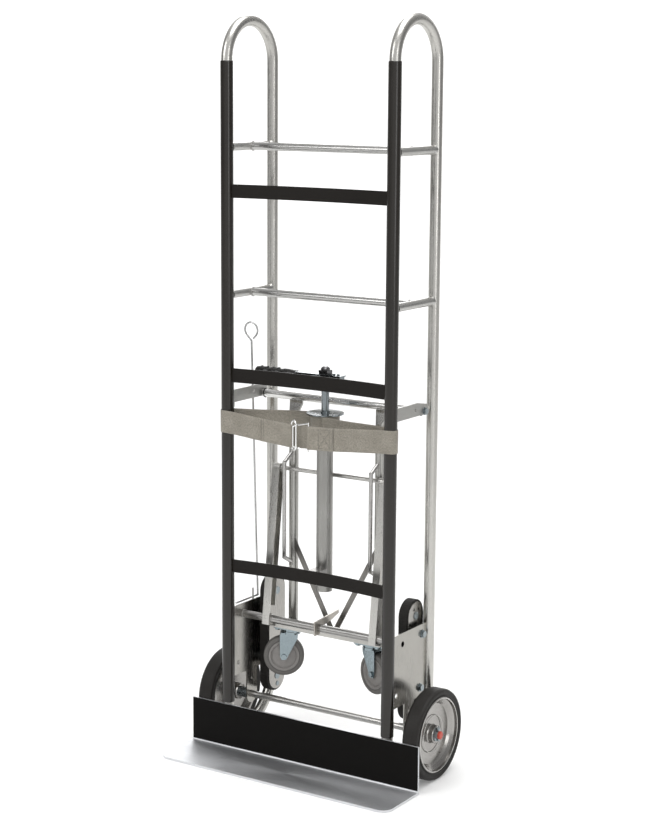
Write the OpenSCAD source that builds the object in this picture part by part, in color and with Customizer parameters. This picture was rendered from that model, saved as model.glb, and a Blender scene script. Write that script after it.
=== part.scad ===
// Upright stair climbing trolley with loop handles, a load strap on a ratchet
// winder, belt crawlers beside the main wheels and a swing-out leg on casters.
// Units are millimetres. +Z is up, the toe plate points towards -Y, +X is the
// user's right when facing the toe plate's load side from the front.
// The origin is on the floor at the middle of the footprint.

/* [Frame] */
// half distance between the left and right rail axes
rail_a = 214.7; // [205:0.1:225]
// distance from front rail axis to rear rail axis
rail_d = 176; // [166:1:186]
// outer radius of the rail tube
rail_r = 12.7; // [12:0.1:13.5]
// rail tube wall
rail_wall = 2; // [1.5:0.1:3]
// height where the handle loop starts
loop_z = 1569; // [1500:1:1650]
// outer radius of the black rail sleeve
sleeve_r = 14.3; // [14.2:0.1:15]
// lowest point of the sleeve
sleeve_z = 110; // [109.5:0.5:130]
// height of the black cross bands
band_h = 30; // [24:1:32]
// how far the cross bands bow back at the middle
band_bow = 15; // [10:1:16]
// height of the upper tubular crossbar
bar_top_z = 1382; // [1350:1:1400]
// height of the lower tubular crossbar
bar_mid_z = 1055; // [1020:1:1080]
// distance of the tubular crossbars behind the front rails
bar_y = 87; // [80:1:95]

/* [Toe plate] */
// half width of the toe plate
toe_w = 304.8; // [300:0.1:310]
// reach of the toe plate in front of the rail axes
toe_front = 147.7; // [120:0.1:180]
// toe plate thickness
toe_t = 5; // [4:0.5:7]
// height of the toe plate's upright leg
toe_h = 108.5; // [100:0.5:109]
// radius of the toe plate's front corners
toe_corner = 25; // [15:1:40]

/* [Wheels] */
// main wheel radius
wheel_r = 102.5; // [101:0.1:102.5]
// main axle distance behind the front rail axes
axle_y = 91; // [90.5:0.1:92]
// main axle radius
axle_r = 8; // [7:0.5:9]
// distance of the wheel's outer face from the middle
wheel_out = 295; // [292:1:296]
// main wheel width
wheel_w = 37; // [36:1:40]
// caster wheel radius
cast_r = 47; // [45:0.5:47]
// caster wheel width
cast_w = 22; // [20:1:22]
// caster trail, swivel axis to wheel axis
cast_trail = 17.5; // [14:0.5:17.5]
// caster swivel axis distance from the middle
cast_x = 109.5; // [106:0.5:109.5]
// turn of the left caster at rest, degrees
cast_turn_l = 213; // [200:1:220]
// turn of the right caster at rest, degrees
cast_turn_r = -19; // [-30:1:0]

/* [Swing leg] */
// leg hinge distance behind the front rail axes
leg_y = 140; // [138:0.5:142]
// leg hinge height
leg_z = 815.5; // [812:0.5:820]
// distance of the leg posts from the middle
post_x = 115.6; // [112:0.1:118]
// leg post radius
post_r = 11; // [10:0.5:11]
// radius of the sliding cross rod
slide_r = 5; // [4:0.5:5]
// rest height of the sliding cross rod
slide_z = 655; // [650:1:660]
// brace pivot tube height
piv_z = 305.5; // [304:0.5:307]
// brace pivot tube distance behind the front rail axes
piv_y = 60; // [58:0.5:60]

/* [Strap winder] */
// winder axis distance behind the front rail axes
wind_y = 73; // [72:0.5:73.5]
// radius of the upright winder tube
wind_r = 18.5; // [17:0.5:18.5]
// webbing width
strap_w = 50.8; // [45:0.1:50.8]
// webbing thickness
strap_t = 1.6; // [1.2:0.1:1.8]
// lower edge of the webbing
strap_z = 745; // [744:0.5:745]
// outer radius of the webbing wound on the spool
coil_r = 32.5; // [30:0.5:34]

/* [Crawlers] */
// crawler roller axis distance behind the front rail axes
crawl_y = 140.4; // [139:0.2:141]
// lower roller height
crawl_low = 142; // [140:1:145]
// upper roller height
crawl_top = 349; // [345:1:350]
// outer radius of the crawler belt at both ends
crawl_r = 36; // [34:0.5:36]

/* [Hidden] */
$fn = 48;
// outer faces of things that set the footprint
rear_max = axle_y + wheel_r;
y_mid = (rear_max - toe_front) / 2;
bend_r = 120;
bend_z = 151.3;
foot_z = 12;
low_z = bend_z - bend_r;
plate_x0 = 213;
plate_x1 = 216;
plate_low = 165;
plate_top = 331;
side_bar_x0 = 212.7;
side_bar_x1 = 216.7;
slide_y = 99.5;
brace_dy = slide_y - piv_y;
brace_dz = slide_z - piv_z;
brace_len = sqrt(brace_dy * brace_dy + brace_dz * brace_dz);
brace_tilt = atan2(brace_dy, brace_dz);
brace_x0 = 134.5;
brace_x1 = 153;
post_y = 120;
web_z0 = 283;
web_z1 = 286;
cast_z = 212.5;
band_t = 3;
handle_lift = 5;
band_front = band_bow - 2;
band_half = rail_a - sleeve_r - 0.1;
band_rad = (band_half * band_half + band_bow * band_bow) / (2 * band_bow);
belt_x0 = 177.9;
belt_x1 = 199.2;
rod_x = -222;
rod_r = 2.5;
rod_y0 = 127;
rod_z0 = 334;
rod_y1 = 103;
rod_z1 = 940;
path_r = sleeve_r + 0.3 + strap_t / 2;

// puts the working frame, whose y = 0 is the front rail axis, on the origin
module place() {
  translate([0, -y_mid, 0]) children();
}

// both sides from one right-hand shape
module both() {
  children();
  mirror([1, 0, 0]) children();
}

// cylinder along X from x0 to x1 at (y, z)
module rod_x(x0, x1, y, z, r) {
  translate([x0, y, z]) rotate([0, 90, 0]) cylinder(r = r, h = x1 - x0);
}

// cylinder along Y from y0 to y1 at (x, z)
module rod_y(y0, y1, x, z, r) {
  translate([x, y0, z]) rotate([-90, 0, 0]) cylinder(r = r, h = y1 - y0);
}

// cylinder along Z from z0 to z1 at (x, y)
module rod_z(z0, z1, x, y, r) {
  translate([x, y, z0]) cylinder(r = r, h = z1 - z0);
}

// cylinder between two points of the upright plane at x
module rod_yz(x, y0, z0, y1, z1, r) {
  dy = y1 - y0;
  dz = z1 - z0;
  translate([x, y0, z0]) rotate([-atan2(dy, dz), 0, 0]) cylinder(r = r, h = sqrt(dy * dy + dz * dz));
}

// box from low corner to high corner
module box(a, b) {
  translate(a) cube([b[0] - a[0], b[1] - a[1], b[2] - a[2]]);
}

// ---- frame ----

module rail_solid(r, e) {
  rod_z(foot_z - e, loop_z, 0, 0, r);
  rod_z(bend_z, loop_z, 0, rail_d, r);
  translate([0, rail_d / 2, loop_z]) rotate([90, 0, 90])
    rotate_extrude(angle = 180) translate([rail_d / 2, 0]) circle(r = r);
  translate([0, rail_d - bend_r, bend_z]) rotate([90, 0, 90]) rotate([0, 0, -90])
    rotate_extrude(angle = 90) translate([bend_r, 0]) circle(r = r);
  rod_y(0, rail_d - bend_r, 0, low_z, r);
}

module rail() {
  difference() {
    rail_solid(rail_r, 0);
    rail_solid(rail_r - rail_wall, 1);
  }
}

module rail_left() {
  color("silver") place() translate([-rail_a, 0, 0]) rail();
}

module rail_right() {
  color("silver") place() translate([rail_a, 0, 0]) rail();
}

module sleeves() {
  color("#2a2825") place() both() translate([rail_a, 0, 0]) difference() {
    union() {
      rod_z(sleeve_z + 1.5, loop_z - 1.5, 0, 0, sleeve_r);
      translate([0, 0, sleeve_z]) cylinder(r1 = sleeve_r - 0.9, r2 = sleeve_r, h = 1.5);
      translate([0, 0, loop_z - 1.5]) cylinder(r1 = sleeve_r, r2 = sleeve_r - 0.9, h = 1.5);
    }
    rod_z(sleeve_z - 1, loop_z + 1, 0, 0, rail_r + 0.05);
  }
}

// bowed flat band between the sleeves
module band(z0, h) {
  color("#2b2724") place() intersection() {
    difference() {
      translate([0, band_front - band_rad, z0]) cylinder(r = band_rad + band_t, h = h, $fn = 720);
      translate([0, band_front - band_rad, z0 - 1]) cylinder(r = band_rad, h = h + 2, $fn = 720);
    }
    box([-band_half, -12, z0 - 2], [band_half, 40, z0 + h + 2]);
  }
}

module band_top() {
  band(1271, band_h);
}

module band_mid() {
  band(859, band_h + 2);
}

module band_low() {
  band(420, band_h);
}

module stub_cut(z) {
  rod_y(0, rail_d, rail_a, z, 9.55);
}

module crossbar(z) {
  difference() {
    rod_x(-rail_a, rail_a, bar_y, z, 9);
    both() stub_cut(z);
    rod_x(-rail_a, rail_a, bar_y, z, 7.4);
  }
}

module crossbars() {
  color("silver") place() union() {
    crossbar(bar_top_z);
    crossbar(bar_mid_z);
  }
}

module stub(z) {
  difference() {
    union() {
      rod_y(0, rail_d, rail_a, z, 9.5);
      translate([rail_a, 12, z]) rotate([-90, 0, 0]) cylinder(r1 = 11.8, r2 = 9.5, h = 6);
      translate([rail_a, rail_d - 18, z]) rotate([-90, 0, 0]) cylinder(r1 = 9.5, r2 = 11.8, h = 6);
    }
    rod_z(z - 30, z + 30, rail_a, 0, sleeve_r + 0.05);
    rod_z(z - 30, z + 30, rail_a, rail_d, rail_r + 0.05);
    rod_y(-5, rail_d + 5, rail_a, z, 7.9);
  }
}

module stubs() {
  color("silver") place() both() {
    stub(bar_top_z);
    stub(bar_mid_z);
  }
}

module side_bars() {
  color("#9a9a98") place() both() difference() {
    union() {
      translate([side_bar_x0, 0, 0]) rotate([90, 0, 90]) linear_extrude(height = side_bar_x1 - side_bar_x0)
        polygon([[13, leg_z - 6.5], [108, leg_z - 6.5], [151, leg_z - 6.5], [151, leg_z + 15],
          [108, leg_z + 22.5], [13, leg_z + 22.5]]);
      box([side_bar_x0, 14.5, leg_z - 17], [side_bar_x1, 24, leg_z - 6]);
    }
    rod_z(leg_z - 32, leg_z + 30, rail_a, 0, sleeve_r + 0.05);
    rod_x(side_bar_x0 - 2, side_bar_x1 + 2, leg_y, leg_z, 4.05);
    rod_x(side_bar_x0 - 2, side_bar_x1 + 2, 100, leg_z + 8, 4);
  }
}

// ---- toe plate ----

module toe_plate() {
  color("#8f9194") place() union() {
    difference() {
      box([-toe_w, -toe_front, 0], [toe_w, -12.8, toe_t]);
      both() difference() {
        box([toe_w - toe_corner, -toe_front - 1, -1], [toe_w + 1, -toe_front + toe_corner, toe_t + 1]);
        rod_z(-2, toe_t + 2, toe_w - toe_corner, -toe_front + toe_corner, toe_corner);
      }
    }
    box([-toe_w, -16.8, toe_t - 1], [toe_w, -12.8, toe_h]);
    difference() {
      box([-toe_w, -20.8, toe_t - 1], [toe_w, -16.7, toe_t + 4]);
      rod_x(-toe_w - 1, toe_w + 1, -20.8, toe_t + 4, 4);
    }
  }
}

module toe_facing() {
  color("#1b1a18") place() box([-toe_w + 1, -18, toe_t + 4.2], [toe_w - 1, -16.85, toe_h - 0.6]);
}

// ---- side plates, crawlers ----

module side_plate() {
  difference() {
    union() {
      box([plate_x0, 14.5, plate_low], [plate_x1, 163.2, plate_top]);
      box([plate_x0, axle_y - 20, wheel_r], [plate_x1, axle_y + 20, plate_low + 1]);
      rod_x(plate_x0, plate_x1, axle_y, wheel_r, 20);
    }
    rod_x(plate_x0 - 1, plate_x1 + 1, axle_y, wheel_r, axle_r + 0.05);
    rod_x(plate_x0 - 1, plate_x1 + 1, 91, 142, 4);
    rod_x(plate_x0 - 1, plate_x1 + 1, 36, 193, 5.5);
    rod_x(plate_x0 - 1, plate_x1 + 1, piv_y, piv_z, 6.5);
    rod_x(plate_x0 - 1, plate_x1 + 1, 146, 308, 5.05);
    rod_x(plate_x0 - 1, plate_x1 + 1, 138, 185, 5.05);
  }
}

module side_plate_left() {
  color("#c9c6bf") place() mirror([1, 0, 0]) side_plate();
}

module side_plate_right() {
  color("#c9c6bf") place() side_plate();
}

// loop outline around both rollers, set in by d from the belt's outside
module slot_shape(x0, x1, d) {
  translate([x0, 0, 0]) rotate([90, 0, 90]) linear_extrude(height = x1 - x0) polygon(belt_line(d));
}

module crawler_plates() {
  color("#bdbab4") place() both() {
    difference() {
      slot_shape(175.3, 177.3, 4);
      rod_x(170, 190, crawl_y, crawl_low, 6.05);
      rod_x(170, 190, crawl_y, crawl_top, 6.05);
    }
    difference() {
      slot_shape(199.8, 201.7, 4);
      rod_x(190, 212, crawl_y, crawl_low, 6.05);
      rod_x(190, 212, crawl_y, crawl_top, 6.05);
      rod_x(190, 212, 146, 308, 5.05);
      rod_x(190, 212, 138, 185, 5.05);
      rod_x(190, 212, crawl_y - 9, crawl_top + 15, 3);
      rod_x(190, 212, crawl_y + 10, crawl_top + 14, 3);
    }
  }
}

function belt_arc(z, r, a0) =
  [for (k = [0:40]) let (a = a0 + k * 4.5) [crawl_y + r * cos(a), z + r * sin(a)]];

// belt outline set in by d, one arc round each roller
function belt_line(d) = concat(belt_arc(crawl_top, crawl_r - d, 0), belt_arc(crawl_low, crawl_r - d, 180));

module belt() {
  translate([belt_x0, 0, 0]) rotate([90, 0, 90]) linear_extrude(height = belt_x1 - belt_x0) difference() {
    polygon(belt_line(0));
    polygon(belt_line(3.5));
  }
}

module belt_left() {
  color("#26231f") place() mirror([1, 0, 0]) belt();
}

module belt_right() {
  color("#26231f") place() belt();
}

module roller(y, z, r) {
  difference() {
    rod_x(belt_x0 + 0.5, belt_x1 - 0.5, y, z, r);
    rod_x(belt_x0, belt_x0 + 4, y, z, r - 5);
    rod_x(belt_x1 - 4, belt_x1, y, z, r - 5);
    rod_x(belt_x0 - 1, belt_x1 + 1, y, z, 6.05);
  }
}

module roller_top() {
  roller(crawl_y, crawl_top, crawl_r - 3.8);
}

module roller_low() {
  roller(crawl_y, crawl_low, crawl_r - 3.8);
}

module roller_top_left() {
  color("#55524e") place() mirror([1, 0, 0]) roller_top();
}

module roller_low_left() {
  color("#55524e") place() mirror([1, 0, 0]) roller_low();
}

module roller_top_right() {
  color("#55524e") place() roller_top();
}

module roller_low_right() {
  color("#55524e") place() roller_low();
}

// roller pins, spacers and bolts that hold the crawlers to the side plates
module crawler_bolts() {
  color("#b8c4c8") place() both() {
    for (z = [crawl_low, crawl_top]) {
      rod_x(173.7, 203.4, crawl_y, z, 6);
      rod_x(173.7, 175.2, crawl_y, z, 9);
      rod_x(201.8, 203.4, crawl_y, z, 9);
    }
    rod_x(174.2, 175.2, crawl_y + 1, crawl_low - 20.5, 5.5);
    for (p = [[146, 308], [138, 185]]) {
      rod_x(199.6, 222, p[0], p[1], 5);
      rod_x(201.8, 212.9, p[0], p[1], 9);
      rod_x(216.1, 217.6, p[0], p[1], 9.5);
      translate([217.6, p[0], p[1]]) rotate([0, 90, 0]) cylinder(r = 8, h = 5, $fn = 6);
    }
  }
}

// ---- pivot tube of the braces, gusset ----

module pivot_tube() {
  color("#a9a7a3") place() difference() {
    rod_x(-212.9, 212.9, piv_y, piv_z, 9);
    rod_x(-214, 214, piv_y, piv_z, 7);
  }
}

module gusset() {
  color("#b5ae9f") place() difference() {
    translate([-3.5, 0, 0]) rotate([90, 0, -90]) linear_extrude(height = 3)
      polygon([[-41, 291], [-60, 291], [-70, 307], [-106, 312], [-141, 322], [-141, 330], [-41, 323]]);
    rod_x(-8, 0, piv_y, piv_z, 9.05);
  }
}

// ---- main axle and wheels ----

module axle() {
  color("#8b8986") place() difference() {
    rod_x(-296, 296, axle_y, wheel_r, axle_r);
    both() rod_z(wheel_r - 20, wheel_r + 20, 292.5, axle_y, 1.6);
  }
}

module ring_x(x0, x1, ri, ro) {
  difference() {
    rod_x(x0, x1, axle_y, wheel_r, ro);
    rod_x(x0 - 1, x1 + 1, axle_y, wheel_r, ri);
  }
}

// spacers, washers and cotter pins on the axle
module axle_fittings() {
  color("#b8c4c8") place() both() {
    ring_x(216.3, 244.7, axle_r + 0.1, 12);
    ring_x(288.6, 290.6, axle_r + 0.1, 15);
    rod_z(wheel_r - 13, wheel_r + 13, 292.5, axle_y, 1.5);
    translate([292.5, axle_y, wheel_r + 15.8]) rotate([0, 90, 0])
      rotate_extrude() translate([3.4, 0]) circle(r = 1.1, $fn = 16);
    rod_yz(292.5, axle_y, wheel_r - 12, axle_y + 6, wheel_r - 17, 1.1);
  }
}

module axle_caps() {
  color("#d04030") place() both() difference() {
    union() {
      rod_x(294.6, 298.5, axle_y, wheel_r, 9);
      translate([298.5, axle_y, wheel_r]) rotate([0, 90, 0]) cylinder(r1 = 9, r2 = 6.5, h = 2);
    }
    rod_x(290, 296.1, axle_y, wheel_r, axle_r + 0.05);
  }
}

module tyre() {
  translate([wheel_out - wheel_w, axle_y, wheel_r]) rotate([0, 90, 0]) rotate_extrude()
    polygon([[84.6, 2], [97, 0], [100.5, 1.2], [wheel_r, 6], [wheel_r, wheel_w - 6],
      [100.5, wheel_w - 1.2], [97, wheel_w], [84.6, wheel_w - 2]]);
}

module tyre_left() {
  color("#332e2b") place() mirror([1, 0, 0]) tyre();
}

module tyre_right() {
  color("#332e2b") place() tyre();
}

// dished wheel disc with a long bored boss
module hub() {
  translate([wheel_out - wheel_w, axle_y, wheel_r]) rotate([0, 90, 0]) rotate_extrude()
    polygon([[axle_r + 0.05, -13], [17, -13], [19, -11], [19, 13], [63, 13], [68, 9], [78, 1],
      [84.4, 1], [84.4, wheel_w - 1], [81, wheel_w - 0.5], [80.5, wheel_w - 7], [73, wheel_w - 13],
      [68, 19], [22, 17], [20, 19], [20, 29], [18.5, 30.4], [axle_r + 0.05, 30.4]]);
}

module hub_left() {
  color("#b4b2ae") place() mirror([1, 0, 0]) hub();
}

module hub_right() {
  color("#b4b2ae") place() hub();
}

// ---- swing leg ----

module leg_tube() {
  color("#b2b1ae") place() difference() {
    rod_x(-212.4, 212.4, leg_y, leg_z, 9.5);
    rod_x(-186, 186, leg_y, leg_z, 7.5);
    both() rod_x(189, 214, leg_y, leg_z, 4.05);
  }
}

// shoulder bolts the leg turns on
module leg_bolts() {
  color("#b8c4c8") place() both() {
    rod_x(192, 217, leg_y, leg_z, 4);
    rod_x(216.8, 218, leg_y, leg_z, 8.5);
    translate([218, leg_y, leg_z]) rotate([0, 90, 0]) cylinder(r = 7.5, h = 4.5, $fn = 6);
  }
}

module post() {
  difference() {
    rod_z(web_z1 + 0.1, 780, post_x, post_y, post_r);
    rod_z(web_z1 - 1, 770, post_x, post_y, post_r - 2);
  }
  hull() {
    rod_z(778, 780, post_x, post_y, post_r);
    box([post_x - 17, 127.8, 801], [post_x + 17, 132.8, 803]);
  }
  box([post_x - 17, 127.8, 803], [post_x + 17, 132.8, leg_z - 6.7]);
}

module posts() {
  color("#9d9c9a") place() both() post();
}

module guide() {
  difference() {
    union() {
      rod_yz(post_x, 112, 690, 82, 672, 4.5);
      rod_z(450, 672, post_x, 82, 4.5);
      rod_yz(post_x, 82, 450, 112, 433, 4.5);
      translate([post_x, 82, 672]) sphere(r = 4.9);
      translate([post_x, 82, 450]) sphere(r = 4.9);
    }
    rod_z(400, 720, post_x, post_y, post_r + 0.05);
  }
}

module guides() {
  color("#8f8e8b") place() both() guide();
}

module strut() {
  difference() {
    translate([13, 112, 303]) rotate([0, 28.2, 0]) translate([-6, 0, -30]) cube([12, 3, 240]);
    box([-60, 100, 200], [0.3, 130, 420]);
    box([-60, 100, 200], [100, 130, web_z1 + 0.1]);
    rod_z(400, 600, post_x, post_y, post_r + 0.05);
    box([post_x, 100, 380], [post_x + 60, 130, 600]);
  }
}

module struts() {
  color("#a5a19a") place() both() strut();
}

module leg_bar() {
  color("#aeaba5") place() difference() {
    union() {
      box([-150, 72, web_z0], [150, 132, web_z1]);
      box([-133, 72, web_z0], [133, 75, 303]);
    }
    both() for (x = [-26, 26]) for (y = [-18, 18])
      rod_z(web_z0 - 1, web_z1 + 1, cast_x + x, 104 + y, 4.1);
  }
}

module slide_rod() {
  color("#8b8986") place() union() {
    rod_x(-133.6, 133.6, slide_y, slide_z, slide_r);
    both() rod_x(128.6, 133.6, slide_y, slide_z, 8);
  }
}

// channel arm from the pivot tube up to the sliding rod
module brace() {
  translate([0, piv_y, piv_z]) rotate([-brace_tilt, 0, 0]) {
    difference() {
      union() {
        box([brace_x1 - 2.5, -10, 0], [brace_x1, 10, brace_len]);
        box([brace_x0, -12.5, -13], [brace_x1, -9.5, brace_len - 4]);
        box([brace_x0, 8, 30], [brace_x1, 10, brace_len - 4]);
        rod_x(brace_x0, brace_x1, 0, 0, 12.6);
        rod_x(brace_x0, brace_x1, 0, brace_len, 10);
      }
      rod_x(brace_x0 - 1, brace_x1 + 1, 0, 0, 9.05);
    }
    rod_x(brace_x1, brace_x1 + 4, 0, brace_len, 6);
  }
}

module brace_left() {
  color("#8f8c88") place() mirror([1, 0, 0]) brace();
}

module brace_right() {
  color("#8f8c88") place() brace();
}

// ---- casters ----

// top plate with raceway and kingpin
module caster_plate() {
  translate([cast_x, 104, 0]) {
    box([-33, -25, 278], [33, 25, 282.9]);
    rod_z(272.5, 278.1, 0, 0, 20);
    rod_z(265.6, 272.6, 0, 0, 6);
    rod_z(262.4, 265.7, 0, 0, 8);
    for (x = [-26, 26]) for (y = [-18, 18]) {
      rod_z(275, 291, x, y, 4);
      translate([x, y, 274.4]) cylinder(r = 7, h = 3.7, $fn = 6);
      translate([x, y, web_z1 + 0.1]) cylinder(r = 7, h = 4, $fn = 6);
    }
  }
}

module caster_plates() {
  color("#b8c4c8") place() both() caster_plate();
}

// fork, local +X is the trailing direction, local Y the wheel axis
module fork() {
  difference() {
    union() {
      rod_z(266, 272, 0, 0, 21);
      box([-12, -15.5, 266], [24, 15.5, 269]);
      for (s = [-1, 1]) {
        translate([0, s * 14.2 + 1.3, 0]) rotate([90, 0, 0]) linear_extrude(height = 2.6)
          polygon([[-16, 269], [25, 269], [27, 262], [cast_trail + 9, cast_z],
            [cast_trail + 5, cast_z - 8], [cast_trail - 5, cast_z - 8], [cast_trail - 9, cast_z],
            [-14, 256]]);
      }
    }
    rod_z(260, 275, 0, 0, 6.05);
  }
  rod_y(-18.5, 18.5, cast_trail, cast_z, 4);
  for (s = [-1, 1])
    translate([cast_trail, s * 17.5 + 2, cast_z]) rotate([90, 0, 0]) cylinder(r = 6.5, h = 4, $fn = 6);
}

module fork_at(x, turn) {
  translate([x, 104, 0]) rotate([0, 0, turn]) children();
}

module fork_left() {
  color("#b9c6ca") place() fork_at(-cast_x, cast_turn_l) fork();
}

module fork_right() {
  color("#b9c6ca") place() fork_at(cast_x, cast_turn_r) fork();
}

module tread() {
  translate([cast_trail, -cast_w / 2, cast_z]) rotate([-90, 0, 0]) rotate_extrude()
    polygon([[36.5, 0.5], [42, 0], [cast_r - 1, 1.5], [cast_r, 4], [cast_r, cast_w - 4],
      [cast_r - 1, cast_w - 1.5], [42, cast_w], [36.5, cast_w - 0.5]]);
}

module core() {
  translate([cast_trail, -cast_w / 2, cast_z]) rotate([-90, 0, 0]) rotate_extrude()
    polygon([[4.05, -1.8], [9, -1.8], [10, 2], [29, 3], [31, 1], [36.4, 0.7],
      [36.4, cast_w - 0.7], [31, cast_w - 1], [29, cast_w - 3], [10, cast_w - 2],
      [9, cast_w + 1.8], [4.05, cast_w + 1.8]]);
}

module tread_left() {
  color("#7c7975") place() fork_at(-cast_x, cast_turn_l) tread();
}

module tread_right() {
  color("#7c7975") place() fork_at(cast_x, cast_turn_r) tread();
}

module core_left() {
  color("#9c9793") place() fork_at(-cast_x, cast_turn_l) core();
}

module core_right() {
  color("#9c9793") place() fork_at(cast_x, cast_turn_r) core();
}

// ---- strap winder ----

module winder_tube() {
  color("#9a9894") place() translate([0, wind_y, 0]) difference() {
    rod_z(392, 738, 0, 0, wind_r);
    rod_z(404, 726, 0, 0, wind_r - 2);
    rod_z(390, 740, 0, 0, 8.8);
  }
}

// hidden brackets that carry the winder on the middle and low bands
module winder_mounts() {
  color("#8b8986") place() union() {
    difference() {
      box([-17, band_front + band_t + 0.3, 862], [17, wind_y + 17, 865.5]);
      rod_z(850, 880, 0, wind_y, 8.8);
    }
    difference() {
      box([-15, band_front + band_t + 0.3, 424], [15, wind_y, 446]);
      rod_z(400, 460, 0, wind_y, wind_r + 0.05);
    }
  }
}

module spindle() {
  color("#b8c4c8") place() translate([0, wind_y, 0]) union() {
    rod_z(394, 889, 0, 0, 8.75);
    rod_z(739, 743, 0, 0, 30);
    rod_z(797, 800, 0, 0, 42);
    rod_z(800, 803, 0, 0, 11);
  }
}

module webbing_coil() {
  color("#857f75") place() translate([0, wind_y, 0]) difference() {
    rod_z(strap_z, strap_z + strap_w, 0, 0, coil_r);
    rod_z(strap_z - 1, strap_z + strap_w + 1, 0, 0, 8.8);
  }
}

module ratchet_gear() {
  teeth = 14;
  color("#b8c4c8") place() translate([0, wind_y, 873.4 + handle_lift]) difference() {
    linear_extrude(height = 4.5) polygon([for (k = [0:teeth - 1], t = [[16, 0], [19.5, 20]])
      let (a = k * 360 / teeth + t[1]) [t[0] * cos(a), t[0] * sin(a)]]);
    translate([0, 0, -1]) cylinder(r = 8.8, h = 8);
  }
}

// cheeks of the ratchet handle with the tang of the grip
module handle_bar() {
  color("#b8c4c8") place() translate([0, wind_y, handle_lift]) union() {
    difference() {
      union() {
        for (z = [869.6, 878.6]) {
          box([-74, -12.5, z], [45.6, 12.5, z + 3]);
          rod_z(z, z + 3, 0, 0, 16);
        }
        box([-74, -12.5, 869.6], [-30, 12.5, 881.6]);
        box([-176, -8, 869], [-70, 8, 877]);
      }
      rod_z(860, 885, 0, 0, 8.8);
    }
    difference() {
      box([22, -9, 872.4], [44.4, 9, 878.8]);
      rod_z(868, 880, 0, 0, 21);
    }
    for (x = [22, 33]) {
      rod_z(881.5, 883.4, x, 1, 3.8);
      rod_z(883.3, 884.6, x, 1, 2.6);
    }
  }
}

module handle_head() {
  color("#8f979a") place() translate([0, wind_y, 0]) difference() {
    union() {
      box([-11, -11, 886.7], [11, 11, 896]);
      rod_z(895.9, 899, 0, 0, 10.6);
      translate([0, 0, 899]) cylinder(r1 = 10.6, r2 = 8, h = 3);
      translate([0, 0, 902]) cylinder(r1 = 8, r2 = 4.5, h = 2);
    }
    rod_z(882, 890, 0, 0, 8.8);
  }
}

module handle_grip() {
  color("#26231f") place() translate([-186, wind_y, 873 + handle_lift]) rotate([0, 90, 0]) difference() {
    rotate_extrude() polygon([[0, 0], [8, 0], [10.5, 3], [11.8, 14], [11.8, 26], [10.2, 34], [10.2, 38],
      [11.8, 46], [11.8, 58], [10.2, 66], [10.2, 70], [11.8, 78], [11.8, 90], [10.8, 100], [10, 112],
      [0, 112]]);
    translate([-4.1, -8.1, 8]) cube([8.2, 16.2, 110]);
  }
}

// ---- strap, plain stand-ins at the real path ----

coil_path_r = coil_r + 0.5 + strap_t / 2;
spool_gap = sqrt(rail_a * rail_a + wind_y * wind_y);
// angles of the rear runs: the right one meets the spool's front, the left one its back
lean_right = atan2(wind_y, rail_a) - asin((coil_path_r + path_r) / spool_gap);
lean_left = atan2(wind_y, rail_a) + asin((coil_path_r - path_r) / spool_gap);
run_right = 205;
run_left = 222;

// one face of the webbing, front run from x0, round the sleeve, then back to the spool
function strap_face(x0, r, lean, run) = concat(
  [[x0, -r]],
  [for (k = [0:18]) let (a = -90 + k * (180 - lean) / 18) [rail_a + r * cos(a), r * sin(a)]],
  [[rail_a + r * sin(lean) - run * cos(lean), r * cos(lean) + run * sin(lean)]]);

function reversed(v) = [for (k = [len(v) - 1:-1:0]) v[k]];

module strap_half(x0, lean, run) {
  translate([0, 0, strap_z]) linear_extrude(height = strap_w)
    polygon(concat(strap_face(x0, path_r + strap_t / 2, lean, run),
      reversed(strap_face(x0, path_r - strap_t / 2, lean, run))));
}

module strap_left() {
  color("#8d887e") place() mirror([1, 0, 0]) strap_half(36, lean_left, run_left);
}

module strap_right() {
  color("#8d887e") place() union() {
    strap_half(-10, lean_right, run_right);
    box([20.5, -path_r - strap_t / 2 - 2.4, strap_z], [80, -path_r - strap_t / 2 - 0.3, strap_z + strap_w]);
    box([20.5, -path_r - strap_t / 2 - 2.4, strap_z], [23, -path_r + strap_t / 2, strap_z + strap_w]);
  }
}

module loop_wire(h, w, r) {
  for (s = [-1, 1]) translate([0, s * w / 2, -h / 2 + w / 2]) cylinder(r = r, h = h - w);
  translate([0, 0, h / 2 - w / 2]) rotate([90, 0, 90])
    rotate_extrude(angle = 180) translate([w / 2, 0]) circle(r = r, $fn = 24);
  translate([0, 0, -h / 2 + w / 2]) rotate([90, 0, 90]) rotate([0, 0, 180])
    rotate_extrude(angle = 180) translate([w / 2, 0]) circle(r = r, $fn = 24);
}

// round rod between two points with rounded ends
module rod_pp(a, b, r) {
  d = b - a;
  translate(a) rotate([0, acos(d[2] / norm(d)), atan2(d[1], d[0])]) cylinder(r = r, h = norm(d));
  translate(a) sphere(r = r + 0.2);
}

module buckle_ring() {
  color("#d8d8d6") place() translate([-19.8, -21.8, 761]) rotate([0, 0, -112.3])
    loop_wire(64.2, 16.9, 2.1);
}

// closed wire hook, narrow through the ring and wide in the fold of the strap
module buckle_hook() {
  pts = [[-19.5, -26, 781.5], [-13.5, -20.8, 784], [18, -20.8, 791],
    [18, -20.8, 729.2], [-13.5, -20.8, 735], [-19.5, -26, 737]];
  color("#d8d8d6") place() union() {
    for (k = [0:5]) rod_pp(pts[k], pts[(k + 1) % 6], 1.7);
  }
}

// ---- release rod ----

rod_len = sqrt((rod_y1 - rod_y0) * (rod_y1 - rod_y0) + (rod_z1 - rod_z0) * (rod_z1 - rod_z0));
rod_tilt = atan2(rod_y1 - rod_y0, rod_z1 - rod_z0);

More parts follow.
